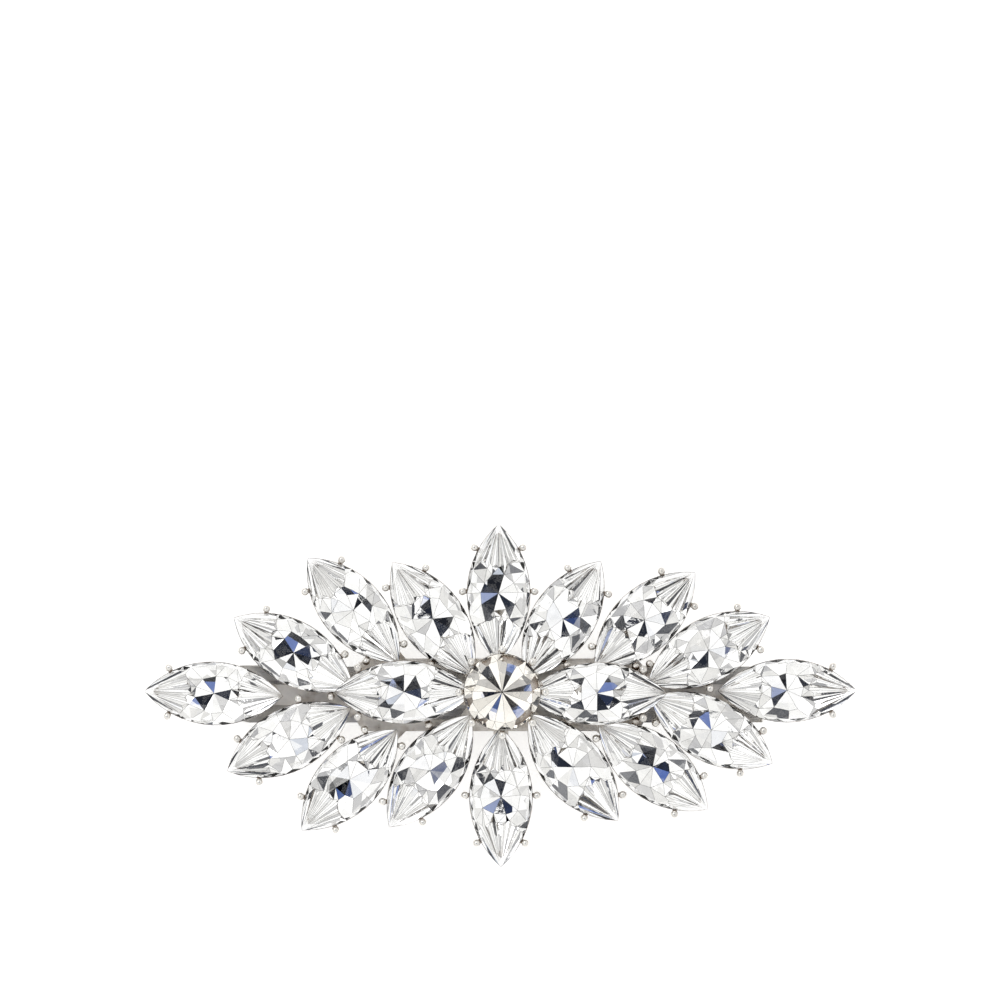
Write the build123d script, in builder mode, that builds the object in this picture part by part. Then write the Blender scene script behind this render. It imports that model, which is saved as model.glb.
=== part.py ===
"""Rhinestone hair clip: a spray of claw-set navette crystals on an openwork frame,
carried by a spring-loaded alligator clip.

Frame: X along the clip, Y across it, +Z from the clip's belly up to the crystals.
The origin is the bottom centre of the whole clip, where its belly rests. Millimetres.
"""
from build123d import *
from math import atan2, cos, radians, sin, sqrt
import os

# --- driving dimensions -------------------------------------------------------------

# Navette (marquise) crystal: two arcs that meet in a point at each end.
NAVETTE_HALF_LENGTH = 7.45
NAVETTE_HALF_WIDTH = 3.42
NAVETTE_CROWN = 1.25
NAVETTE_PAVILION = 2.2
GIRDLE = 0.16
TABLE_SCALE = 0.45
FACET_STATIONS = (0.17, 0.52, 0.86)

# Round crystal in the middle.
ROUND_RADIUS = 4.15
ROUND_CROWN = 1.35
ROUND_PAVILION = 2.9
ROUND_FACETS = 16
CENTRE_X = 0.18
CENTRE_Y = 0.4

# Metal of the settings.
STONE_CLEARANCE = 0.04
SETTING_INSET = 0.3
SETTING_FLOOR_SCALE = 0.56
DRAIN_HOLE_LENGTH = 3.0
DRAIN_HOLE_WIDTH = 1.2
CLAW_RADIUS = 0.27
CLAW_ELBOW_RADIUS = 0.3
CLAW_BALL_RADIUS = 0.42
CLAW_STAND_OFF = 0.44
CLAW_ARM_DROP = 0.72
CLAW_ARM_ROOT = 0.95
CLAW_BALL_LIFT = 0.2

# Heights of the layers.
JAW_THICKNESS = 0.8
JAW_UNDERSIDE_Z = 7.4
FRAME_BOTTOM_Z = JAW_UNDERSIDE_Z + JAW_THICKNESS
FRAME_THICKNESS = 1.0
SEAT_Z = FRAME_BOTTOM_Z + FRAME_THICKNESS
LOW_GIRDLE_Z = SEAT_Z + 2.5
MIDDLE_GIRDLE_Z = LOW_GIRDLE_Z + 1.3
ROUND_GIRDLE_Z = MIDDLE_GIRDLE_Z + 1.9

# Openwork frame.
SPINE_HALF_LENGTH = 33.0
SPINE_WIDTH = 2.2
RIB_WIDTH = 1.6
RIB_REACH = 3.0
RAIL_LENGTH = 31.0
RAIL_SPREAD = 7.8
RAIL_WIDTH = 1.2
RAIL_CORNER = 1.6
BOSS_RADIUS = 3.0

# Alligator clip.
CLIP_HALF_WIDTH = 3.0
CLIP_REAR_X = -28.5
CLIP_FRONT_X = 28.5
CLIP_CORNER = 1.6
EAR_THICKNESS = 0.7
EAR_LENGTH = 4.6
EAR_CLEARANCE = 0.15
PIN_X = -14.0
PIN_Z = 4.9
PIN_RADIUS = 0.8
PIN_CLEARANCE = 0.05
PIN_HEAD_RADIUS = 1.3
PIN_HEAD_THICKNESS = 0.45
LOWER_EAR_RADIUS = 1.75
LOWER_EAR_THICKNESS = 0.6
WAIST_HALF_WIDTH = CLIP_HALF_WIDTH - EAR_THICKNESS - EAR_CLEARANCE
WAIST_LENGTH = 8.0
JAW_BEND_RADIUS = 5.0
TOOTH_PITCH = 1.5
TOOTH_HEIGHT = 1.1
TOOTH_COUNT = 6
TOOTH_FIRST_X = 15.0
TOOTH_THICKNESS = 0.6
JAW_GAP = 0.1

# Middle line of the lower jaw's strip, from its front end to the finger tab.
BELLY_Z = JAW_THICKNESS / 2
JAW_FRONT = (28.2, JAW_UNDERSIDE_Z - JAW_GAP - JAW_THICKNESS / 2)
JAW_KNEE = (24.0, 6.0)
BELLY_FRONT = (13.0, BELLY_Z)
BELLY_REAR = (1.0, BELLY_Z)
WAIST_FRONT = (-10.0, 2.1)
WAIST_REAR = (-16.5, 2.1)
TAB_KNEE = (-24.0, BELLY_Z)
TAB_END = (-28.2, BELLY_Z)

# Torsion spring.
SPRING_WIRE_RADIUS = 0.3
SPRING_COIL_RADIUS = 1.45
SPRING_PITCH = 0.66
SPRING_TURNS = 3.5
SPRING_LEG_LENGTH = 7.5
SPRING_REST_GAP = 0.04
SPRING_LEG_RADIUS = 0.31
SPRING_LEG_OVERLAP = 0.25

# --- where each navette sits ----------------------------------------------------------

# name: (centre x, centre y, direction of the outer tip in degrees, girdle height,
#        claws as (station along the stone, side), side +1 to the left of the tip's direction)
BOTH_OUTER = [(4.7, 1), (4.7, -1)]
LAYOUT = {
    "left_tip": (-30.7, 0.2, 178, LOW_GIRDLE_Z, BOTH_OUTER),
    "upper_left_outer": (-22.15, 4.55, 149.5, LOW_GIRDLE_Z, BOTH_OUTER + [(-5.6, 1), (-4.6, -1)]),
    "upper_left_middle": (-15.75, 9.1, 131, LOW_GIRDLE_Z, BOTH_OUTER + [(-4.8, 1), (-6.0, -1)]),
    "upper_left_inner": (-7.25, 8.2, 125.5, LOW_GIRDLE_Z, [(5.4, 1), (4.7, -1), (-3.8, 1)]),
    "top": (-0.2, 10.93, 90, LOW_GIRDLE_Z, BOTH_OUTER + [(0.2, 1), (0.2, -1)]),
    "upper_right_inner": (6.7, 8.15, 57, LOW_GIRDLE_Z, BOTH_OUTER + [(-3.8, -1)]),
    "upper_right_middle": (15.45, 8.05, 43.5, LOW_GIRDLE_Z, BOTH_OUTER + [(-5.8, 1), (-4.0, -1)]),
    "upper_right_outer": (22.3, 4.85, 28.5, LOW_GIRDLE_Z, BOTH_OUTER + [(-6.0, 1), (-1.8, -1)]),
    "right_tip": (30.7, 0.5, 0, LOW_GIRDLE_Z, BOTH_OUTER),
    "lower_right_outer": (22.6, -3.75, -28.5, LOW_GIRDLE_Z, BOTH_OUTER + [(-5.4, -1)]),
    "lower_right_middle": (16.35, -7.65, -38, LOW_GIRDLE_Z, BOTH_OUTER + [(-4.4, 1), (-6.4, -1)]),
    "lower_right_inner": (7.8, -7.72, -50, LOW_GIRDLE_Z, [(5.4, 1), (4.7, -1), (-4.0, 1)]),
    "bottom": (0.05, -10.93, -90, LOW_GIRDLE_Z, BOTH_OUTER + [(-0.2, 1), (-0.2, -1)]),
    "lower_left_inner": (-7.55, -8.1, -126, LOW_GIRDLE_Z, [(4.7, 1), (5.4, -1), (-3.8, -1)]),
    "lower_left_middle": (-16.15, -9.05, -133.5, LOW_GIRDLE_Z, BOTH_OUTER + [(-6.2, 1), (-4.8, -1)]),
    "lower_left_outer": (-22.65, -4.75, -153, LOW_GIRDLE_Z, BOTH_OUTER + [(-4.8, 1), (-2.8, -1)]),
    "left_inner": (-10.35, 0.35, 180, MIDDLE_GIRDLE_Z, BOTH_OUTER),
    "right_inner": (10.35, 0.2, 0, MIDDLE_GIRDLE_Z, BOTH_OUTER),
}
ROUND_CLAW_ANGLES = range(0, 360, 45)

# Each side of the navette is one arc: its radius, and how far its centre is past the long axis.
ARC_RADIUS = (NAVETTE_HALF_LENGTH**2 + NAVETTE_HALF_WIDTH**2) / (2 * NAVETTE_HALF_WIDTH)
ARC_DROP = ARC_RADIUS - NAVETTE_HALF_WIDTH


def half_width(station):
    """Half the navette's width at a distance from its middle."""
    return sqrt(ARC_RADIUS**2 - station**2) - ARC_DROP


def stone_plane(x, y, heading, height):
    """Plane at a stone's girdle, with its X axis towards the stone's outer tip."""
    return Plane(
        origin=(x, y, height),
        x_dir=(cos(radians(heading)), sin(radians(heading)), 0),
        z_dir=(0, 0, 1),
    )


def navette_outline(half_length, half_width_here):
    """Closed navette edge in the current line context."""
    ThreePointArc((-half_length, 0), (0, half_width_here), (half_length, 0))
    ThreePointArc((half_length, 0), (0, -half_width_here), (-half_length, 0))


def facet_plane(seat, station, side, height, rise, reach):
    """Plane through the girdle edge at a station, leaning in by reach over rise."""
    tangent_x = station / ARC_RADIUS
    outward = Vector(tangent_x, side * sqrt(1 - tangent_x**2), 0)
    edge_point = Vector(station, side * half_width(station), height)
    slope = Vector(0, 0, reach if rise > 0 else -reach)
    normal = outward * abs(rise) + slope
    origin = seat.from_local_coords(edge_point)
    direction = seat.from_local_coords(edge_point + normal) - origin
    return Plane(origin=origin, z_dir=direction)


def girdle_reach(station):
    """Distance from the stone's axis to the tangent at a girdle station."""
    tangent_x = station / ARC_RADIUS
    return tangent_x * station + sqrt(1 - tangent_x**2) * half_width(station)


def pavilion_planes(seat):
    """Planes that cut the pointed back, each through the point below the middle."""
    planes = []
    for fraction in FACET_STATIONS:
        station = fraction * NAVETTE_HALF_LENGTH
        for end in (-1, 1):
            for side in (-1, 1):
                reach = girdle_reach(end * station)
                cut = facet_plane(seat, end * station, side, -GIRDLE / 2, -NAVETTE_PAVILION, reach)
                planes.append(cut)
    return planes


def crown_planes(seat):
    """Planes that cut the sloping facets between girdle and table."""
    planes = []
    for fraction in FACET_STATIONS:
        station = fraction * NAVETTE_HALF_LENGTH
        for end in (-1, 1):
            for side in (-1, 1):
                reach = girdle_reach(end * station) * (1 - TABLE_SCALE)
                cut = facet_plane(seat, end * station, side, GIRDLE / 2, NAVETTE_CROWN, reach)
                planes.append(cut)
    return planes


def make_navette(name, x, y, heading, height):
    """Navette crystal: sloping crown facets round a table, and a pointed back."""
    seat = stone_plane(x, y, heading, height)
    with BuildPart() as crystal:
        with BuildSketch(seat.offset(-NAVETTE_PAVILION)):
            with BuildLine():
                navette_outline(NAVETTE_HALF_LENGTH, NAVETTE_HALF_WIDTH)
            make_face()
        extrude(amount=NAVETTE_PAVILION + NAVETTE_CROWN)
        for cut in crown_planes(seat) + pavilion_planes(seat):
            split(bisect_by=cut, keep=Keep.BOTTOM)
    crystal.part.label = f"crystal_{name}"
    export_step(crystal.part, f"parts/crystal_{name}.step")
    return crystal.part


def rod(start, end, radius):
    """Straight round rod between two points, in the current part."""
    run = end - start
    with BuildSketch(Plane(origin=start, z_dir=run)) as section:
        Circle(radius)
    extrude(section.sketch, amount=run.length)


def claw(seat, root, foot, ball):
    """One claw in the current part: an arm out of the wall, a post and a ball end."""
    root_point, foot_point, ball_point = (
        seat.from_local_coords(Vector(*point)) for point in (root, foot, ball)
    )
    rod(root_point, foot_point, CLAW_RADIUS)
    rod(foot_point, ball_point, CLAW_RADIUS)
    with Locations(foot_point):
        Sphere(CLAW_ELBOW_RADIUS)
    with Locations(ball_point):
        Sphere(CLAW_BALL_RADIUS)


def navette_claw(seat, station, side):
    """Claw beside the navette's edge, its ball leaning on the girdle."""
    tangent_x = station / ARC_RADIUS
    outward = (tangent_x, side * sqrt(1 - tangent_x**2))
    edge = (station, side * half_width(station))

    def at(distance, height):
        return (edge[0] + outward[0] * distance, edge[1] + outward[1] * distance, height)

    claw(
        seat,
        at(-CLAW_ARM_ROOT, -CLAW_ARM_DROP - CLAW_RADIUS),
        at(CLAW_STAND_OFF, -CLAW_ARM_DROP),
        at(CLAW_STAND_OFF, CLAW_BALL_LIFT),
    )


def make_setting(name, x, y, heading, height, claws):
    """Open cup under a navette, with a pierced floor and its claws."""
    seat = stone_plane(x, y, heading, height)
    depth = height - SEAT_Z
    cup_depth = LOW_GIRDLE_Z - SEAT_Z
    rim = 1 - SETTING_INSET / NAVETTE_HALF_WIDTH
    with BuildPart(mode=Mode.PRIVATE) as hollow:
        with BuildSketch(seat.offset(-NAVETTE_PAVILION - STONE_CLEARANCE)):
            with BuildLine():
                navette_outline(
                    NAVETTE_HALF_LENGTH + STONE_CLEARANCE, NAVETTE_HALF_WIDTH + STONE_CLEARANCE
                )
            make_face()
        extrude(amount=2 * NAVETTE_PAVILION)
        for cut in pavilion_planes(seat):
            split(bisect_by=cut.offset(STONE_CLEARANCE), keep=Keep.BOTTOM)
    with BuildPart() as setting:
        with BuildSketch(seat.offset(-cup_depth)):
            with BuildLine():
                navette_outline(
                    NAVETTE_HALF_LENGTH * SETTING_FLOOR_SCALE,
                    NAVETTE_HALF_WIDTH * SETTING_FLOOR_SCALE,
                )
            make_face()
        with BuildSketch(seat.offset(-GIRDLE)):
            with BuildLine():
                navette_outline(NAVETTE_HALF_LENGTH * rim, NAVETTE_HALF_WIDTH * rim)
            make_face()
        loft()
        for station, side in claws:
            navette_claw(seat, station, side)
        add(hollow.part, mode=Mode.SUBTRACT)
        with BuildSketch(seat.offset(-cup_depth)):
            SlotOverall(DRAIN_HOLE_LENGTH, DRAIN_HOLE_WIDTH)
        extrude(amount=cup_depth, mode=Mode.SUBTRACT)
        if depth > cup_depth:
            with BuildSketch(seat.offset(-depth)):
                SlotOverall(NAVETTE_HALF_LENGTH, NAVETTE_HALF_WIDTH)
                SlotOverall(DRAIN_HOLE_LENGTH, DRAIN_HOLE_WIDTH, mode=Mode.SUBTRACT)
            extrude(amount=depth - cup_depth)
    setting.part.label = f"setting_{name}"
    export_step(setting.part, f"parts/setting_{name}.step")
    return setting.part


def make_round_crystal():
    """Round crystal: equal crown facets round a flat table, and equal back facets to a point."""
    seat = stone_plane(CENTRE_X, CENTRE_Y, 0, ROUND_GIRDLE_Z)
    with BuildPart() as crystal:
        with BuildSketch(seat.offset(-ROUND_PAVILION)):
            Circle(ROUND_RADIUS)
        extrude(amount=ROUND_PAVILION + ROUND_CROWN)
        for index in range(ROUND_FACETS):
            angle = radians(index * 360 / ROUND_FACETS)
            outward = Vector(cos(angle), sin(angle), 0)
            reach = ROUND_RADIUS * (1 - TABLE_SCALE)
            rim_point = Vector(outward.X * ROUND_RADIUS, outward.Y * ROUND_RADIUS, 0)
            origin = seat.from_local_coords(rim_point)
            up = Vector(0, 0, 1)
            crown_normal = outward * ROUND_CROWN + up * reach
            split(bisect_by=Plane(origin=origin + up * (GIRDLE / 2), z_dir=crown_normal), keep=Keep.BOTTOM)
            back_normal = outward * (ROUND_PAVILION - GIRDLE / 2) - up * ROUND_RADIUS
            split(bisect_by=Plane(origin=origin - up * (GIRDLE / 2), z_dir=back_normal), keep=Keep.BOTTOM)
    crystal.part.label = "crystal_centre"
    export_step(crystal.part, "parts/crystal_centre.step")
    return crystal.part


def make_round_setting():
    """Tall collet on the frame with eight ball-ended claws round the middle crystal."""
    seat = stone_plane(CENTRE_X, CENTRE_Y, 0, ROUND_GIRDLE_Z)
    stem_radius = 2.0
    stem_top = -2.0
    rim_radius = ROUND_RADIUS - SETTING_INSET
    rim_drop = GIRDLE
    back_slope = (ROUND_PAVILION - GIRDLE / 2) / ROUND_RADIUS
    wall = 0.35
    drain_radius = 0.6
    claw_root_inset = 0.6
    claw_root_drop = 1.02
    bottom = SEAT_Z - ROUND_GIRDLE_Z
    with BuildPart() as setting:
        with BuildSketch(Plane(origin=seat.origin, x_dir=(1, 0, 0), z_dir=(0, -1, 0))):
            with BuildLine():
                Polyline(
                    (drain_radius, bottom),
                    (stem_radius, bottom),
                    (stem_radius, stem_top),
                    (rim_radius, -rim_drop - wall),
                    (rim_radius, -back_slope * SETTING_INSET - rim_drop),
                    (drain_radius, -ROUND_PAVILION - STONE_CLEARANCE),
                    close=True,
                )
            make_face()
        revolve(axis=Axis(seat.origin, (0, 0, 1)))
        for angle in ROUND_CLAW_ANGLES:
            outward = (cos(radians(angle)), sin(radians(angle)))

            def at(radius, height, outward=outward):
                return (outward[0] * radius, outward[1] * radius, height)

            claw(
                seat,
                at(rim_radius - claw_root_inset, -claw_root_drop),
                at(ROUND_RADIUS + CLAW_STAND_OFF, -CLAW_ARM_DROP),
                at(ROUND_RADIUS + CLAW_STAND_OFF, CLAW_BALL_LIFT),
            )
    setting.part.label = "setting_centre"
    export_step(setting.part, "parts/setting_centre.step")
    return setting.part


def make_base_frame():
    """Openwork frame: a spine, one rib under each stone, and a rail that ties them."""
    with BuildPart() as frame:
        with BuildSketch(Plane.XY.offset(FRAME_BOTTOM_Z)):
            SlotOverall(2 * SPINE_HALF_LENGTH, SPINE_WIDTH)
            Circle(BOSS_RADIUS)
            RectangleRounded(RAIL_LENGTH, RAIL_SPREAD, RAIL_CORNER)
            RectangleRounded(
                RAIL_LENGTH - 2 * RAIL_WIDTH,
                RAIL_SPREAD - 2 * RAIL_WIDTH,
                RAIL_CORNER - RAIL_WIDTH / 2,
                mode=Mode.SUBTRACT,
            )
            SlotOverall(2 * SPINE_HALF_LENGTH, SPINE_WIDTH)
            Circle(BOSS_RADIUS)
            for x, y, heading, height, claws in LAYOUT.values():
                if height == LOW_GIRDLE_Z and abs(y) > SPINE_WIDTH:
                    run = abs(y / sin(radians(heading))) + RIB_REACH
                    tip_x = x + RIB_REACH * cos(radians(heading))
                    tip_y = y + RIB_REACH * sin(radians(heading))
                    middle_x = tip_x - run / 2 * cos(radians(heading))
                    middle_y = tip_y - run / 2 * sin(radians(heading))
                    with Locations(Location((middle_x, middle_y, 0), (0, 0, heading))):
                        SlotOverall(run + RIB_WIDTH, RIB_WIDTH)
        extrude(amount=FRAME_THICKNESS)
    frame.part.label = "base_frame"
    export_step(frame.part, "parts/base_frame.step")
    return frame.part


def make_upper_jaw():
    """Flat upper jaw with two ears that carry the hinge pin."""
    length = CLIP_FRONT_X - CLIP_REAR_X
    middle = (CLIP_FRONT_X + CLIP_REAR_X) / 2
    with BuildPart() as jaw:
        with BuildSketch(Plane.XY.offset(JAW_UNDERSIDE_Z)):
            with Locations((middle, 0)):
                RectangleRounded(length, 2 * CLIP_HALF_WIDTH, CLIP_CORNER)
        extrude(amount=JAW_THICKNESS)
        for side in (-1, 1):
            inner_y = side * (CLIP_HALF_WIDTH - EAR_THICKNESS)
            ear_plane = Plane(origin=(PIN_X, inner_y, 0), x_dir=(-side, 0, 0), z_dir=(0, side, 0))
            with BuildSketch(ear_plane):
                with Locations((0, PIN_Z)):
                    Circle(EAR_LENGTH / 2)
                with Locations((0, (PIN_Z + JAW_UNDERSIDE_Z) / 2)):
                    Rectangle(EAR_LENGTH, JAW_UNDERSIDE_Z - PIN_Z)
                with Locations((0, PIN_Z)):
                    Circle(PIN_RADIUS + PIN_CLEARANCE, mode=Mode.SUBTRACT)
            extrude(amount=EAR_THICKNESS)
    jaw.part.label = "upper_jaw"
    export_step(jaw.part, "parts/upper_jaw.step")
    return jaw.part


def slope_height(x, low, high):
    """Height at x on the straight line between two points of the jaw's middle line."""
    return low[1] + (x - low[0]) * (high[1] - low[1]) / (high[0] - low[0])


def make_lower_jaw():
    """Arched lower jaw: toothed front, flat belly, waist with ears, and finger tab."""
    with BuildPart() as jaw:
        with BuildSketch(Plane.XZ):
            with BuildLine():
                FilletPolyline(
                    JAW_FRONT,
                    JAW_KNEE,
                    BELLY_FRONT,
                    BELLY_REAR,
                    WAIST_FRONT,
                    WAIST_REAR,
                    TAB_KNEE,
                    TAB_END,
                    radius=JAW_BEND_RADIUS,
                )
            trace(line_width=JAW_THICKNESS)
        extrude(amount=CLIP_HALF_WIDTH, both=True)
        for side in (-1, 1):
            edge_y = side * (WAIST_HALF_WIDTH + CLIP_HALF_WIDTH) / 2
            with Locations((PIN_X, edge_y, PIN_Z / 2)):
                Box(WAIST_LENGTH, CLIP_HALF_WIDTH - WAIST_HALF_WIDTH, PIN_Z, mode=Mode.SUBTRACT)
            ear_y = side * (WAIST_HALF_WIDTH - LOWER_EAR_THICKNESS)
            ear_plane = Plane(origin=(PIN_X, ear_y, 0), x_dir=(-side, 0, 0), z_dir=(0, side, 0))
            with BuildSketch(ear_plane):
                with Locations((0, PIN_Z)):
                    Circle(LOWER_EAR_RADIUS)
                with Locations((0, (PIN_Z + WAIST_FRONT[1]) / 2)):
                    Rectangle(2 * LOWER_EAR_RADIUS, PIN_Z - WAIST_FRONT[1])
                with Locations((0, PIN_Z)):
                    Circle(PIN_RADIUS + PIN_CLEARANCE, mode=Mode.SUBTRACT)
            extrude(amount=LOWER_EAR_THICKNESS)
            tooth_y = side * (CLIP_HALF_WIDTH - TOOTH_THICKNESS)
            tooth_plane = Plane(origin=(0, tooth_y, 0), x_dir=(-side, 0, 0), z_dir=(0, side, 0))
            with BuildSketch(tooth_plane):
                for index in range(TOOTH_COUNT):
                    start_x = TOOTH_FIRST_X + index * TOOTH_PITCH
                    end_x = start_x + TOOTH_PITCH
                    tip_x = (start_x + end_x) / 2
                    tip_z = slope_height(tip_x, BELLY_FRONT, JAW_KNEE) + JAW_THICKNESS / 2 + TOOTH_HEIGHT
                    with BuildLine():
                        Polyline(
                            (-side * start_x, slope_height(start_x, BELLY_FRONT, JAW_KNEE)),
                            (-side * tip_x, tip_z),
                            (-side * end_x, slope_height(end_x, BELLY_FRONT, JAW_KNEE)),
                            close=True,
                        )
                    make_face()
            extrude(amount=TOOTH_THICKNESS)
    jaw.part.label = "lower_jaw"
    export_step(jaw.part, "parts/lower_jaw.step")
    return jaw.part


def make_hinge_pin():
    """Riveted pin across the ears, with a low head at each end."""
    with BuildPart() as pin:
        with BuildSketch(Plane.XZ.offset(-CLIP_HALF_WIDTH)):
            with Locations((PIN_X, PIN_Z)):
                Circle(PIN_RADIUS)
        extrude(amount=2 * CLIP_HALF_WIDTH)
        for start in (-CLIP_HALF_WIDTH - PIN_HEAD_THICKNESS, CLIP_HALF_WIDTH):
            with BuildSketch(Plane.XZ.offset(start)):
                with Locations((PIN_X, PIN_Z)):
                    Circle(PIN_HEAD_RADIUS)
            extrude(amount=PIN_HEAD_THICKNESS)
    pin.part.label = "hinge_pin"
    export_step(pin.part, "parts/hinge_pin.step")
    return pin.part


def make_torsion_spring():
    """Coil round the pin, its legs pushing the tab away from the upper jaw."""
    half_length = SPRING_TURNS * SPRING_PITCH / 2
    coil_start = (PIN_X, -half_length, PIN_Z)
    end_x = PIN_X - SPRING_LEG_LENGTH
    tab_slope = atan2(WAIST_REAR[1] - TAB_KNEE[1], WAIST_REAR[0] - TAB_KNEE[0])
    tab_rise = (JAW_THICKNESS / 2 + SPRING_LEG_RADIUS + SPRING_REST_GAP) / cos(tab_slope)
    lower_end_z = slope_height(end_x, TAB_KNEE, WAIST_REAR) + tab_rise
    upper_end_z = JAW_UNDERSIDE_Z - SPRING_LEG_RADIUS - SPRING_REST_GAP
    with BuildPart() as spring:
        with BuildLine() as coil:
            Helix(SPRING_PITCH, 2 * half_length, SPRING_COIL_RADIUS, coil_start, (0, 1, 0))
        wire = coil.line
        with BuildSketch(Plane(origin=wire @ 0, z_dir=wire % 0)):
            Circle(SPRING_WIRE_RADIUS)
        sweep(path=wire, is_frenet=True)
        leg_root = Vector(SPRING_LEG_OVERLAP, 0, 0)
        rod(wire @ 0 + leg_root, Vector(end_x, -half_length, upper_end_z), SPRING_LEG_RADIUS)
        rod(wire @ 1 + leg_root, Vector(end_x, half_length, lower_end_z), SPRING_LEG_RADIUS)
    spring.part.label = "torsion_spring"
    export_step(spring.part, "parts/torsion_spring.step")
    return spring.part


os.makedirs("parts", exist_ok=True)
for stone_name, (stone_x, stone_y, stone_heading, girdle_z, stone_claws) in LAYOUT.items():
    make_navette(stone_name, stone_x, stone_y, stone_heading, girdle_z)
    make_setting(stone_name, stone_x, stone_y, stone_heading, girdle_z, stone_claws)
make_round_crystal()
make_round_setting()
make_base_frame()
make_upper_jaw()
make_lower_jaw()
make_hinge_pin()
make_torsion_spring()
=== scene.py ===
"""Looks of the rhinestone hair clip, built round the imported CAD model. Metres."""

import math
import random

import bmesh
import bpy
from mathutils import Matrix, Vector
from mathutils.geometry import delaunay_2d_cdt


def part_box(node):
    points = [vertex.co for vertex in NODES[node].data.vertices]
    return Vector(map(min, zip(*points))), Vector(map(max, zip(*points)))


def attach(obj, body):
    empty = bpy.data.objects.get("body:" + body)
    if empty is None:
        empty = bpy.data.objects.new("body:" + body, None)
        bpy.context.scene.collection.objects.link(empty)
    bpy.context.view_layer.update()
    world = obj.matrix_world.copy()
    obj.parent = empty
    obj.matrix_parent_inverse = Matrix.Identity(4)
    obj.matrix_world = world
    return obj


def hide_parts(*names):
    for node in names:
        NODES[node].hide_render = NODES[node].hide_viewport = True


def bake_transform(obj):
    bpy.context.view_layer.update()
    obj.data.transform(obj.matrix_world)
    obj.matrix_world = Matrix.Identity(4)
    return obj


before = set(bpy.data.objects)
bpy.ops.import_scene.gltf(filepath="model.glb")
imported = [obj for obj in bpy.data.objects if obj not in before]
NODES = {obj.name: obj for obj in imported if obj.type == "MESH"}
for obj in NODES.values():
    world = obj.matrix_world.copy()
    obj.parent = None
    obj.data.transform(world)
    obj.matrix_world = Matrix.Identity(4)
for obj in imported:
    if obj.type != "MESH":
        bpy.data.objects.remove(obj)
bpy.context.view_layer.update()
MM = 0.001

# Navette crystal, in millimetres, as in the CAD part.
NAVETTE_HALF_LENGTH = 7.45
NAVETTE_HALF_WIDTH = 3.42
NAVETTE_CROWN = 1.25
NAVETTE_PAVILION = 2.2
GIRDLE = 0.16
ARC_RADIUS = (NAVETTE_HALF_LENGTH**2 + NAVETTE_HALF_WIDTH**2) / (2 * NAVETTE_HALF_WIDTH)
ARC_DROP = ARC_RADIUS - NAVETTE_HALF_WIDTH
OUTLINE_STEPS = 20
NAVETTE_TABLE = 0.46
NAVETTE_BREAK = 0.78
# Folded fans that spread from each tip across the back.
FAN_FACETS = 18
FAN_REACH = 2.7
FAN_SWEEP = 1.1
FAN_WIDTH = 0.86
FAN_FOLD = 0.12
FAN_FOLD_SHARES = (0.3, 1.0)
FAN_REACH_JITTER = 0.35
FAN_SIDE_JITTER = 0.3
# Darts along the two long sides.
DARTS = 5
DART_SPAN = 3.0
DART_WIDTH = 0.88
DART_FOLD = 0.12
DART_FOLD_SHARES = (0.4, 1.0)
DART_JITTER = 0.2
# Uneven star of wedges round the blunt point in the middle.
STAR_WEDGES = 10
STAR_LENGTH = 1.95
STAR_WIDTH = 2.1
STAR_DEPTHS = (1.0, 1.3)
STAR_REACHES = (0.85, 1.12)
STAR_JITTER = 0.22
POINT_DEPTH = 1.4
# Smallest lift of a facet's corner over the CAD part's back, so that foil stays clear of the cup.
CUP_CLEARANCE = 0.02
# Width of the polished line along each ridge, and how far the girdle's dark edge of lacquer and painted
# shadow leans in.
EDGE_POLISH = 0.014
POLISHED_RIDGE = math.radians(4)
EDGE_LEAN = 0.08
# Corners closer than this are one corner.
WELD_DISTANCE = 0.0005
# Neighbouring hull faces bent less than this are one facet.
FLAT_FACET = math.radians(0.6)
# Hull faces whose normals rise or fall less than this stand upright, and the girdle band replaces them.
UPRIGHT_NORMAL = 0.02
# Each stone's largest tilt in its cup, in degrees: about its long axis and across it.
STONE_ROLL = 1.0
STONE_PITCH = 0.4
# Glass that barely bends light, so the foil shows undistorted, under a gloss as strong as real glass's.
GLASS_IOR = 1.06
GLOSS_IOR = 1.5

# Round crystal. Its crown is 0.05 lower than the CAD part's, so a tilted stone stays inside the box.
ROUND_RADIUS = 4.15
ROUND_CROWN = 1.3
ROUND_PAVILION = 2.9
ROUND_TABLE = 0.5
ROUND_BREAK = 0.775
ROUND_BREAK_HEIGHT = 0.62
ROUND_CROWN_FACETS = 8
ROUND_STEPS = 48
# Back of the round crystal: two nearly level corners, then one high one, all the way round.
ROUND_WEDGES = 18
ROUND_STAR = (0.66, 0.84)
ROUND_DROPS = (0.3, 0.6)
ROUND_FLATNESS = 0.45
ROUND_POINT = 1.1
ROUND_JITTER = 0.2

# Torsion spring, as in the CAD part, in metres.
SPRING_WIRE = 0.3 * MM
SPRING_COIL = 1.45 * MM
SPRING_TURNS = 3.5
SPRING_STEPS_PER_TURN = 24
SPRING_LEG_STEPS = 12
# In wire radii: from the wire's middle to the CAD spring's ends.
SPRING_END_ROOM = 1.03

# The picture the camera takes: its middle and its width at the crystals' height.
VIEW_CENTRE = (-0.05 * MM, 20.91 * MM)
VIEW_WIDTH = 107.03 * MM
VIEW_PLANE_Z = 11.9 * MM
CAMERA_HEIGHT = 1.0
SENSOR_WIDTH = 36.0

# Floor, light and surroundings. The floor lies just under the clip.
FLOOR_HALF_SIZE = 3.0
FLOOR_DROP = 0.2 * MM
FLOOR_GLOW = 0.42
STUDIO_STRENGTH = 1.25
SOFTBOX_PLACE = (-0.35, 0.45, 0.7)
SOFTBOX_TARGET = (0, 0, 0.01)
SOFTBOX_SIZE = 0.35
SOFTBOX_POWER = 0.8


# --- node helpers ---------------------------------------------------------------------


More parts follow.
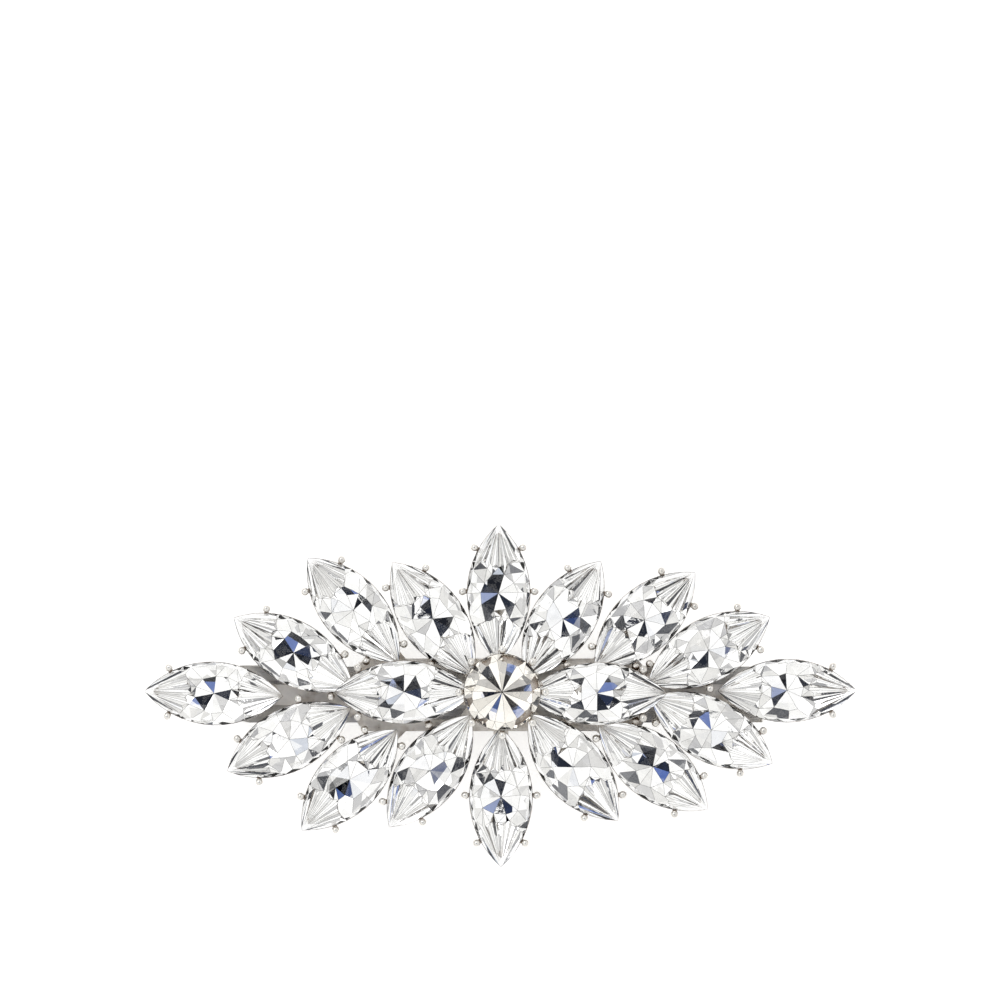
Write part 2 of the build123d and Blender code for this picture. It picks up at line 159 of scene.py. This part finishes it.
def new_material(name):
    material = bpy.data.materials.new(name)
    material.use_nodes = True
    nodes = material.node_tree.nodes
    return material, nodes, material.node_tree.links, nodes["Principled BSDF"]


def add_noise(nodes, links, scale, detail=3.0, stretch=None):
    """Noise in the object's own coordinates, optionally stretched."""
    place = nodes.new("ShaderNodeTexCoord")
    noise = nodes.new("ShaderNodeTexNoise")
    noise.inputs["Scale"].default_value = scale
    noise.inputs["Detail"].default_value = detail
    if stretch:
        mapping = nodes.new("ShaderNodeMapping")
        mapping.inputs["Scale"].default_value = stretch
        links.new(place.outputs["Object"], mapping.inputs["Vector"])
        links.new(mapping.outputs["Vector"], noise.inputs["Vector"])
    else:
        links.new(place.outputs["Object"], noise.inputs["Vector"])
    return noise.outputs["Fac"]


def add_ramp(nodes, links, value, stops):
    ramp = nodes.new("ShaderNodeValToRGB")
    while len(ramp.color_ramp.elements) < len(stops):
        ramp.color_ramp.elements.new(0.5)
    for element, (place, colour) in zip(ramp.color_ramp.elements, stops):
        element.position = place
        element.color = (*colour, 1.0)
    links.new(value, ramp.inputs["Fac"])
    return ramp.outputs["Color"]


def add_range(nodes, links, value, low, high):
    spread = nodes.new("ShaderNodeMapRange")
    spread.inputs["To Min"].default_value = low
    spread.inputs["To Max"].default_value = high
    links.new(value, spread.inputs["Value"])
    return spread.outputs["Result"]


def add_bump(nodes, links, value, strength, distance):
    bump = nodes.new("ShaderNodeBump")
    bump.inputs["Strength"].default_value = strength
    bump.inputs["Distance"].default_value = distance
    links.new(value, bump.inputs["Height"])
    return bump.outputs["Normal"]


def mix_colours(nodes, links, factor, a, b, blend="MIX"):
    mix = nodes.new("ShaderNodeMix")
    mix.data_type = "RGBA"
    mix.blend_type = blend
    for socket, value in (("Factor", factor), ("A", a), ("B", b)):
        target = [s for s in mix.inputs if s.name == socket and s.enabled][0]
        if isinstance(value, bpy.types.NodeSocket):
            links.new(value, target)
        else:
            target.default_value = value
    return [s for s in mix.outputs if s.enabled][0]


# --- materials ------------------------------------------------------------------------


def crystal_glass(name, tint):
    """Clear front of a stone under a gloss coat, with a faintly uneven polish."""
    material, nodes, links, shader = new_material(name)
    shader.inputs["IOR"].default_value = GLASS_IOR
    shader.inputs["Transmission Weight"].default_value = 1.0
    shader.inputs["Coat Weight"].default_value = 1.0
    shader.inputs["Coat IOR"].default_value = GLOSS_IOR
    shader.inputs["Coat Roughness"].default_value = 0.01
    polish = add_noise(nodes, links, 900.0)
    light = tuple(min(1.0, c * 1.02) for c in tint)
    links.new(add_ramp(nodes, links, polish, [(0.3, tint), (0.7, light)]), shader.inputs["Base Color"])
    links.new(add_range(nodes, links, polish, 0.0, 0.004), shader.inputs["Roughness"])
    ripple = add_noise(nodes, links, 350.0, 2.0)
    links.new(add_bump(nodes, links, ripple, 0.05, 0.00002), shader.inputs["Normal"])
    return material


def foil_backing(name, tint):
    """Mirror foil behind a stone, with the slight mottling of real foil."""
    material, nodes, links, shader = new_material(name)
    shader.inputs["Metallic"].default_value = 1.0
    mottle = add_noise(nodes, links, 700.0, 4.0)
    dull = tuple(c * 0.93 for c in tint)
    links.new(add_ramp(nodes, links, mottle, [(0.35, dull), (0.65, tint)]), shader.inputs["Base Color"])
    links.new(add_range(nodes, links, mottle, 0.0, 0.03), shader.inputs["Roughness"])
    links.new(add_bump(nodes, links, mottle, 0.08, 0.00002), shader.inputs["Normal"])
    return material


def lacquer_and_shadow_edge():
    """Dark edge round a stone: backing lacquer and painted shadow where the stone meets its cup, worn
    through to the foil in places.
    """
    material, nodes, links, shader = new_material("lacquer_and_shadow_edge")
    wear = add_noise(nodes, links, 260.0, 4.0)
    # The dark stop is lacquer and painted shadow; the light stop is the foil where the lacquer is worn
    # through.
    stops = [(0.42, (0.045, 0.032, 0.026)), (0.58, (0.42, 0.38, 0.34))]
    links.new(add_ramp(nodes, links, wear, stops), shader.inputs["Base Color"])
    links.new(add_range(nodes, links, wear, 0.3, 0.5), shader.inputs["Roughness"])
    links.new(add_bump(nodes, links, wear, 0.2, 0.00002), shader.inputs["Normal"])
    return material


def plated_metal(name, bright, dark, rough, painted_shade_reach, metallic, tarnish):
    """Plate with painted brown shade in its recesses, brown tarnished patches and a fine cast grain."""
    material, nodes, links, shader = new_material(name)
    shader.inputs["Metallic"].default_value = metallic
    # Painted shade: an ambient occlusion node finds the recesses and the places between parts.
    shade = nodes.new("ShaderNodeAmbientOcclusion")
    shade.inputs["Distance"].default_value = painted_shade_reach
    shade.samples = 8
    grain = add_noise(nodes, links, 1500.0, 5.0)
    base = add_ramp(nodes, links, grain, [(0.3, tuple(c * 0.9 for c in bright)), (0.7, bright)])
    depth = add_range(nodes, links, shade.outputs["AO"], -0.9, 1.4)
    patches = add_noise(nodes, links, 520.0, 5.0)
    amount = add_ramp(nodes, links, patches, [(0.5, (0.0, 0.0, 0.0)), (0.66, (tarnish,) * 3)])
    base = mix_colours(nodes, links, amount, base, (*dark, 1.0))
    # Painted shade: where the occlusion is strong, the plate takes the dark colour.
    links.new(mix_colours(nodes, links, depth, (*dark, 1.0), base), shader.inputs["Base Color"])
    links.new(add_range(nodes, links, grain, rough * 0.7, rough * 1.5), shader.inputs["Roughness"])
    links.new(add_bump(nodes, links, patches, 0.3, 0.00005), shader.inputs["Normal"])
    return material


def brushed_steel(name, colour, stretch):
    """Stamped sheet with drawn lines along its length and scattered scuffs."""
    material, nodes, links, shader = new_material(name)
    shader.inputs["Metallic"].default_value = 1.0
    lines = add_noise(nodes, links, 1200.0, 4.0, stretch)
    scuff = add_noise(nodes, links, 160.0, 6.0)
    dull = tuple(c * 0.82 for c in colour)
    base = add_ramp(nodes, links, lines, [(0.3, dull), (0.7, colour)])
    worn = add_ramp(nodes, links, scuff, [(0.45, (0.86, 0.84, 0.81)), (0.6, (1.0, 1.0, 1.0))])
    links.new(mix_colours(nodes, links, 1.0, base, worn, "MULTIPLY"), shader.inputs["Base Color"])
    links.new(add_range(nodes, links, lines, 0.18, 0.38), shader.inputs["Roughness"])
    links.new(add_bump(nodes, links, lines, 0.3, 0.00003), shader.inputs["Normal"])
    return material


def floor_paper():
    """Matt white paper that glows a little, so that it stays white in the picture."""
    material, nodes, links, shader = new_material("floor_paper")
    fibre = add_noise(nodes, links, 400.0, 5.0)
    stops = [(0.3, (0.905, 0.905, 0.905)), (0.7, (0.93, 0.93, 0.93))]
    links.new(add_ramp(nodes, links, fibre, stops), shader.inputs["Base Color"])
    shader.inputs["Roughness"].default_value = 0.9
    shader.inputs["Specular IOR Level"].default_value = 0.1
    shader.inputs["Emission Color"].default_value = (1.0, 1.0, 1.0, 1.0)
    shader.inputs["Emission Strength"].default_value = FLOOR_GLOW
    return material


CLEAR_GLASS = crystal_glass("clear_glass", (0.98, 0.985, 0.99))
CLEAR_FOIL = foil_backing("clear_foil", (0.97, 0.965, 0.955))
WARM_GLASS = crystal_glass("warm_glass", (0.995, 0.98, 0.96))
WARM_FOIL = foil_backing("warm_foil", (0.97, 0.945, 0.90))
EDGE_LACQUER_AND_SHADOW = lacquer_and_shadow_edge()
# Each dark colour is both the painted shade in recesses and the tarnish colour; the last distance is
# how far the painted shade reaches.
SETTING_METAL = plated_metal(
    "setting_metal", (0.88, 0.86, 0.82), (0.13, 0.08, 0.045), 0.13, 0.002, metallic=1.0, tarnish=0.25
)
FRAME_METAL = plated_metal(
    "frame_metal", (0.99, 0.945, 0.88), (0.42, 0.33, 0.24), 0.3, 0.0008, metallic=0.5, tarnish=0.6
)
CLIP_STEEL = brushed_steel("clip_steel", (0.78, 0.77, 0.75), (0.06, 1.0, 1.0))
PIN_STEEL = brushed_steel("pin_steel", (0.82, 0.8, 0.78), (1.0, 0.1, 1.0))
SPRING_STEEL = brushed_steel("spring_steel", (0.66, 0.65, 0.64), (1.0, 1.0, 1.0))


# --- crystals -------------------------------------------------------------------------


def half_width(station):
    return math.sqrt(ARC_RADIUS**2 - station**2) - ARC_DROP


def navette_ring(scale, height, count):
    """Points round a navette outline, starting at the +X tip, in millimetres."""
    points = []
    for index in range(2 * count):
        angle = math.pi * index / count
        station = NAVETTE_HALF_LENGTH * math.cos(angle)
        side = 1 if angle < math.pi else -1
        width = half_width(station) * side
        points.append(Vector((station * scale, width * scale, height)))
    return points


def hull_faces(work, points, slot, keep_up):
    """Adds the upper or lower part of the points' convex hull to a bmesh."""
    shell = bmesh.new()
    for point in points:
        shell.verts.new(point)
    bmesh.ops.convex_hull(shell, input=shell.verts)
    bmesh.ops.dissolve_limit(
        shell, angle_limit=FLAT_FACET, verts=shell.verts, edges=shell.edges
    )
    shell.normal_update()
    places = {}
    for face in shell.faces:
        up = face.normal.z
        if (up > UPRIGHT_NORMAL) != keep_up or abs(up) < UPRIGHT_NORMAL:
            continue
        corners = []
        for vert in face.verts:
            key = tuple(round(c, 5) for c in vert.co)
            if key not in places:
                places[key] = work.verts.new(vert.co)
            corners.append(places[key])
        made = work.faces.new(corners)
        made.material_index = slot
    shell.free()


def add_band(work, low, high, slot):
    """Girdle band between two rings of the same count."""
    lower = [work.verts.new(p) for p in low]
    upper = [work.verts.new(p) for p in high]
    for index in range(len(low)):
        after = (index + 1) % len(low)
        face = work.faces.new((lower[index], lower[after], upper[after], upper[index]))
        face.material_index = slot


def cone_height(x, y):
    """Height over the girdle's middle of a plain cone from the outline to the CAD part's point."""
    angle = math.atan2(abs(y), abs(x))
    run, rise = math.cos(angle), math.sin(angle)
    reach = math.sqrt(ARC_RADIUS**2 - (ARC_DROP * run) ** 2) - ARC_DROP * rise
    inward = 1 - math.hypot(x, y) / reach
    return -GIRDLE / 2 - (NAVETTE_PAVILION - GIRDLE / 2) * inward


def add_navette_back(work, outline, slot, chance):
    """Pointed back: a folded fan from each tip, darts along the sides and a star of wedges."""
    points = [Vector((p.x, p.y, -GIRDLE / 2)) for p in outline]
    count = len(points)
    lines = [(index, (index + 1) % count) for index in range(count)]

    def lifted(x, y, fold):
        return Vector((x, y, cone_height(x, y) + CUP_CLEARANCE + fold))

    for end, tip in ((1, 0), (-1, count // 2)):
        first = len(points)
        for index in range(FAN_FACETS + 1):
            across = 2 * index / FAN_FACETS - 1
            station = FAN_REACH + FAN_SWEEP * across**2
            station += chance.uniform(-FAN_REACH_JITTER, FAN_REACH_JITTER)
            fold = chance.uniform(*FAN_FOLD_SHARES) * FAN_FOLD * (index % 2)
            across += chance.uniform(-FAN_SIDE_JITTER, FAN_SIDE_JITTER) / FAN_FACETS
            points.append(lifted(end * station, across * FAN_WIDTH * half_width(station), fold))
        lines += [(tip, index) for index in range(first, len(points))]
        lines += [(index, index + 1) for index in range(first, len(points) - 1)]
    for side in (-1, 1):
        for index in range(DARTS):
            station = DART_SPAN * (2 * (index + 0.5) / DARTS - 1)
            station += chance.uniform(-DART_JITTER, DART_JITTER)
            fold = chance.uniform(*DART_FOLD_SHARES) * DART_FOLD * (index % 2)
            points.append(lifted(station, side * DART_WIDTH * half_width(station), fold))
    first = len(points)
    for index in range(STAR_WEDGES):
        wander = chance.uniform(-STAR_JITTER, STAR_JITTER)
        turn = 2 * math.pi * (index + 0.5 + wander) / STAR_WEDGES
        away = chance.uniform(*STAR_REACHES)
        spot = lifted(away * STAR_LENGTH * math.cos(turn), away * STAR_WIDTH * math.sin(turn), 0)
        spot.z = max(spot.z, -chance.uniform(*STAR_DEPTHS))
        points.append(spot)
    lines += [(first + i, first + (i + 1) % STAR_WEDGES) for i in range(STAR_WEDGES)]
    points.append(Vector((0, 0, -POINT_DEPTH)))
    lines += [(first + index, len(points) - 1) for index in range(STAR_WEDGES)]
    flat = [p.to_2d() for p in points]
    filled = delaunay_2d_cdt(flat, lines, [], 0, 1e-6)
    sources = [source[0] for source in filled[3]]
    made = [work.verts.new(points[source]) for source in sources]
    for face in filled[2]:
        work.faces.new([made[index] for index in face]).material_index = slot


def finish_crystal(work, name, glass, foil, place):
    """Polishes the ridges and turns the facets into a placed object."""
    bmesh.ops.remove_doubles(work, verts=work.verts, dist=WELD_DISTANCE)
    bmesh.ops.recalc_face_normals(work, faces=work.faces)
    inner = [edge for edge in work.edges if len(edge.link_faces) == 2]
    ridges = [edge for edge in inner if edge.calc_face_angle() > POLISHED_RIDGE]
    bmesh.ops.bevel(
        work, geom=ridges, offset=EDGE_POLISH, segments=1, affect="EDGES", clamp_overlap=True
    )
    bmesh.ops.scale(work, vec=(MM, MM, MM), verts=work.verts)
    mesh = bpy.data.meshes.new(name)
    work.to_mesh(mesh)
    work.free()
    mesh.materials.append(glass)
    mesh.materials.append(foil)
    # Third slot: the girdle band's lacquer and painted shadow.
    mesh.materials.append(EDGE_LACQUER_AND_SHADOW)
    mesh.transform(place)
    crystal = bpy.data.objects.new(name, mesh)
    bpy.context.collection.objects.link(crystal)
    return crystal


def stone_place(node, pavilion):
    """Where a stone sits: the middle of its girdle and the run of its long axis."""
    low, high = (Vector(corner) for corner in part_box(node))
    centre = (low + high) / 2
    spread_xx = spread_xy = spread_yy = 0.0
    for vert in NODES[node].data.vertices:
        dx = vert.co.x - centre.x
        dy = vert.co.y - centre.y
        spread_xx += dx * dx
        spread_xy += dx * dy
        spread_yy += dy * dy
    heading = 0.5 * math.atan2(2 * spread_xy, spread_xx - spread_yy)
    girdle_z = low.z + pavilion * MM
    chance = random.Random(node)
    roll = Matrix.Rotation(math.radians(chance.uniform(-STONE_ROLL, STONE_ROLL)), 4, "X")
    pitch = Matrix.Rotation(math.radians(chance.uniform(-STONE_PITCH, STONE_PITCH)), 4, "Y")
    turn = Matrix.Rotation(heading, 4, "Z")
    return Matrix.Translation((centre.x, centre.y, girdle_z)) @ turn @ pitch @ roll


def make_navette(node):
    """Navette: crown facets round a table, a girdle edge of lacquer and painted shadow, and a
    foil-backed back.
    """
    outline = navette_ring(1.0, 0.0, OUTLINE_STEPS)
    length_scale = 1 - EDGE_LEAN / NAVETTE_HALF_LENGTH
    width_scale = 1 - EDGE_LEAN / NAVETTE_HALF_WIDTH
    top = [Vector((p.x * length_scale, p.y * width_scale, GIRDLE / 2)) for p in outline]
    low = [Vector((p.x, p.y, -GIRDLE / 2)) for p in outline]
    work = bmesh.new()
    crown = list(top)
    crown += navette_ring(NAVETTE_TABLE, NAVETTE_CROWN, 3)
    crown += navette_ring(NAVETTE_BREAK, NAVETTE_CROWN / 2, 4)
    hull_faces(work, crown, 0, True)
    add_band(work, low, top, 2)
    add_navette_back(work, outline, 1, random.Random(node + "_cut"))
    place = stone_place(node, NAVETTE_PAVILION)
    crystal = finish_crystal(work, node + "_stone", CLEAR_GLASS, CLEAR_FOIL, place)
    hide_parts(node)
    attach(crystal, "root")


def circle_points(radius, height, count, turn=0.0):
    points = []
    for index in range(count):
        angle = 2 * math.pi * (index + turn) / count
        points.append(Vector((radius * math.cos(angle), radius * math.sin(angle), height)))
    return points


def add_round_back(work, low, slot):
    """Shallow pointed back of uneven wedges, with halves out to the girdle."""
    chance = random.Random("round_cut")
    points = list(low)
    count = len(low)
    lines = [(index, (index + 1) % count) for index in range(count)]
    inner = len(points)
    for index in range(ROUND_WEDGES):
        wander = chance.uniform(-ROUND_JITTER, ROUND_JITTER)
        turn = 2 * math.pi * (index + wander) / ROUND_WEDGES
        away = ROUND_RADIUS * chance.uniform(*ROUND_STAR)
        drop = chance.uniform(*ROUND_DROPS)
        depth = drop if index % 3 == 2 else ROUND_POINT - ROUND_FLATNESS * drop
        points.append(Vector((away * math.cos(turn), away * math.sin(turn), -depth)))
    lines += [(inner + i, inner + (i + 1) % ROUND_WEDGES) for i in range(ROUND_WEDGES)]
    points.append(Vector((0, 0, -ROUND_POINT)))
    lines += [(inner + index, len(points) - 1) for index in range(ROUND_WEDGES)]
    filled = delaunay_2d_cdt([p.to_2d() for p in points], lines, [], 0, 1e-6)
    made = [work.verts.new(points[source[0]]) for source in filled[3]]
    for face in filled[2]:
        work.faces.new([made[index] for index in face]).material_index = slot


def make_round_crystal():
    """Round brilliant, slightly warm: table, crown facets, girdle edge and a back of wedges."""
    node = "crystal_centre"
    top = circle_points(ROUND_RADIUS - EDGE_LEAN, GIRDLE / 2, ROUND_STEPS)
    low = circle_points(ROUND_RADIUS, -GIRDLE / 2, ROUND_STEPS)
    work = bmesh.new()
    crown = top + circle_points(ROUND_RADIUS * ROUND_TABLE, ROUND_CROWN, ROUND_CROWN_FACETS)
    break_height = ROUND_CROWN * ROUND_BREAK_HEIGHT
    crown += circle_points(ROUND_RADIUS * ROUND_BREAK, break_height, ROUND_CROWN_FACETS, 0.5)
    hull_faces(work, crown, 0, True)
    add_band(work, low, top, 2)
    add_round_back(work, low, 1)
    place = stone_place(node, ROUND_PAVILION)
    crystal = finish_crystal(work, node + "_stone", WARM_GLASS, WARM_FOIL, place)
    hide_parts(node)
    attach(crystal, "root")


# --- metal parts ----------------------------------------------------------------------


def paint(node, material):
    """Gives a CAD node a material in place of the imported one."""
    slots = NODES[node].data.materials
    slots.clear()
    slots.append(material)


def make_spring():
    """Coil round the pin with a leg to each jaw, wound as one wire."""
    low, high = (Vector(corner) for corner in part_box("torsion_spring"))
    pin_low, pin_high = (Vector(corner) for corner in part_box("hinge_pin"))
    centre = (pin_low + pin_high) / 2
    half = (high.y - low.y) / 2 - SPRING_END_ROOM * SPRING_WIRE
    leg_end_x = low.x
    upper_tip = Vector((leg_end_x, centre.y - half, high.z - SPRING_WIRE))
    lower_tip = Vector((leg_end_x, centre.y + half, low.z + SPRING_WIRE))
    steps = int(SPRING_TURNS * SPRING_STEPS_PER_TURN)
    coil = []
    for index in range(steps + 1):
        angle = math.pi / 2 - 2 * math.pi * index / SPRING_STEPS_PER_TURN
        x = centre.x + SPRING_COIL * math.cos(angle)
        y = centre.y - half + 2 * half * index / steps
        coil.append(Vector((x, y, centre.z + SPRING_COIL * math.sin(angle))))
    upper_leg = [upper_tip.lerp(coil[0], t / SPRING_LEG_STEPS) for t in range(SPRING_LEG_STEPS)]
    lower_leg = [coil[-1].lerp(lower_tip, (t + 1) / SPRING_LEG_STEPS) for t in range(SPRING_LEG_STEPS)]
    route = upper_leg + coil + lower_leg
    curve = bpy.data.curves.new("spring_wire", "CURVE")
    curve.dimensions = "3D"
    curve.bevel_depth = SPRING_WIRE
    curve.bevel_resolution = 4
    curve.use_fill_caps = True
    line = curve.splines.new("POLY")
    line.points.add(len(route) - 1)
    for point, place in zip(line.points, route):
        point.co = (*place, 1.0)
    source = bpy.data.objects.new("spring_source", curve)
    mesh = bpy.data.meshes.new_from_object(source)
    bpy.data.objects.remove(source)
    wire_shell = bmesh.new()
    wire_shell.from_mesh(mesh)
    bmesh.ops.remove_doubles(wire_shell, verts=wire_shell.verts, dist=0.001 * SPRING_WIRE)
    wire_shell.to_mesh(mesh)
    wire_shell.free()
    for face in mesh.polygons:
        face.use_smooth = True
    spring = bpy.data.objects.new("wound_spring", mesh)
    bpy.context.collection.objects.link(spring)
    mesh.materials.clear()
    mesh.materials.append(SPRING_STEEL)
    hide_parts("torsion_spring")
    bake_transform(spring)


for node_name in NODES:
    if node_name == "crystal_centre":
        make_round_crystal()
    elif node_name.startswith("crystal_"):
        make_navette(node_name)
    elif node_name.startswith("setting_"):
        paint(node_name, SETTING_METAL)
paint("base_frame", FRAME_METAL)
paint("upper_jaw", CLIP_STEEL)
paint("lower_jaw", CLIP_STEEL)
paint("hinge_pin", PIN_STEEL)
make_spring()


# --- floor, light and camera ----------------------------------------------------------


def make_floor():
    size = FLOOR_HALF_SIZE
    mesh = bpy.data.meshes.new("floor")
    corners = [(-size, -size, 0), (size, -size, 0), (size, size, 0), (-size, size, 0)]
    mesh.from_pydata(corners, [], [(0, 1, 2, 3)])
    mesh.materials.append(floor_paper())
    floor = bpy.data.objects.new("floor", mesh)
    bpy.context.collection.objects.link(floor)
    floor.location.z = -FLOOR_DROP


# Panels round the clip: how fine the cells are, and their tones by share of the cells. Low down they
# are white or grey with a few dark ones, and near the camera about two in five are dark or blue.
LOW_PANELS = (7.5, [
    (0.0, (0.04, 0.042, 0.05)),
    (0.035, (0.08, 0.085, 0.10)),
    (0.06, (0.48, 0.48, 0.49)),
    (0.34, (0.68, 0.675, 0.66)),
    (0.55, (0.88, 0.88, 0.87)),
    (1.0, (1.0, 1.0, 1.0)),
])
HIGH_PANELS = (8.0, [
    (0.0, (0.012, 0.013, 0.016)),
    (0.37, (0.02, 0.025, 0.04)),
    (0.40, (0.07, 0.13, 0.40)),
    (0.42, (0.5, 0.54, 0.62)),
    (0.52, (0.95, 0.95, 0.95)),
    (1.0, (1.0, 1.0, 1.0)),
])


def add_panels(nodes, links, direction, panels):
    """Cells of one tone each over the directions round the clip."""
    scale, tones = panels
    cells = nodes.new("ShaderNodeTexVoronoi")
    cells.inputs["Scale"].default_value = scale
    cells.inputs["Randomness"].default_value = 1.0
    links.new(direction, cells.inputs["Vector"])
    pick = nodes.new("ShaderNodeSeparateColor")
    links.new(cells.outputs["Color"], pick.inputs["Color"])
    return add_ramp(nodes, links, pick.outputs["Red"], tones)


def make_studio():
    """Tent of light panels, with dark ones near the camera and a dark lens that the facets pick up."""
    world = bpy.data.worlds.new("studio")
    bpy.context.scene.world = world
    world.use_nodes = True
    nodes = world.node_tree.nodes
    links = world.node_tree.links
    sky = nodes["Background"]
    place = nodes.new("ShaderNodeTexCoord")
    direction = place.outputs["Generated"]
    split = nodes.new("ShaderNodeSeparateXYZ")
    links.new(direction, split.inputs["Vector"])
    height = split.outputs["Z"]
    low = add_panels(nodes, links, direction, LOW_PANELS)
    high = add_panels(nodes, links, direction, HIGH_PANELS)
    near_camera = add_ramp(nodes, links, height, [(0.865, (0.0, 0.0, 0.0)), (0.885, (1.0, 1.0, 1.0))])
    seen = mix_colours(nodes, links, near_camera, low, high)
    lens_stops = [(0.978, (1.0, 1.0, 1.0)), (0.983, (0.12, 0.22, 0.6)), (0.987, (0.03, 0.03, 0.035))]
    lens = add_ramp(nodes, links, height, lens_stops)
    seen = mix_colours(nodes, links, 1.0, seen, lens, "MULTIPLY")
    path = nodes.new("ShaderNodeLightPath")
    shown = mix_colours(nodes, links, path.outputs["Is Camera Ray"], seen, (1.0, 1.0, 1.0, 1.0))
    links.new(shown, sky.inputs["Color"])
    sky.inputs["Strength"].default_value = STUDIO_STRENGTH


def make_softbox(name):
    light = bpy.data.lights.new(name, "AREA")
    light.shape = "RECTANGLE"
    light.size = SOFTBOX_SIZE
    light.size_y = SOFTBOX_SIZE
    light.energy = SOFTBOX_POWER
    box = bpy.data.objects.new(name, light)
    box.location = SOFTBOX_PLACE
    aim = Vector(SOFTBOX_TARGET) - Vector(SOFTBOX_PLACE)
    box.rotation_euler = aim.to_track_quat("-Z", "Y").to_euler()
    bpy.context.collection.objects.link(box)


def make_camera():
    camera_data = bpy.data.cameras.new("camera")
    camera_data.sensor_width = SENSOR_WIDTH
    camera_data.lens = camera_data.sensor_width * CAMERA_HEIGHT / VIEW_WIDTH
    camera_data.clip_start = 0.05
    camera_data.clip_end = 20.0
    camera = bpy.data.objects.new("camera", camera_data)
    camera.location = (VIEW_CENTRE[0], VIEW_CENTRE[1], VIEW_PLANE_Z + CAMERA_HEIGHT)
    bpy.context.collection.objects.link(camera)
    bpy.context.scene.camera = camera


make_floor()
make_studio()
make_softbox("key_softbox")
make_camera()
bpy.context.scene.view_settings.view_transform = "Standard"
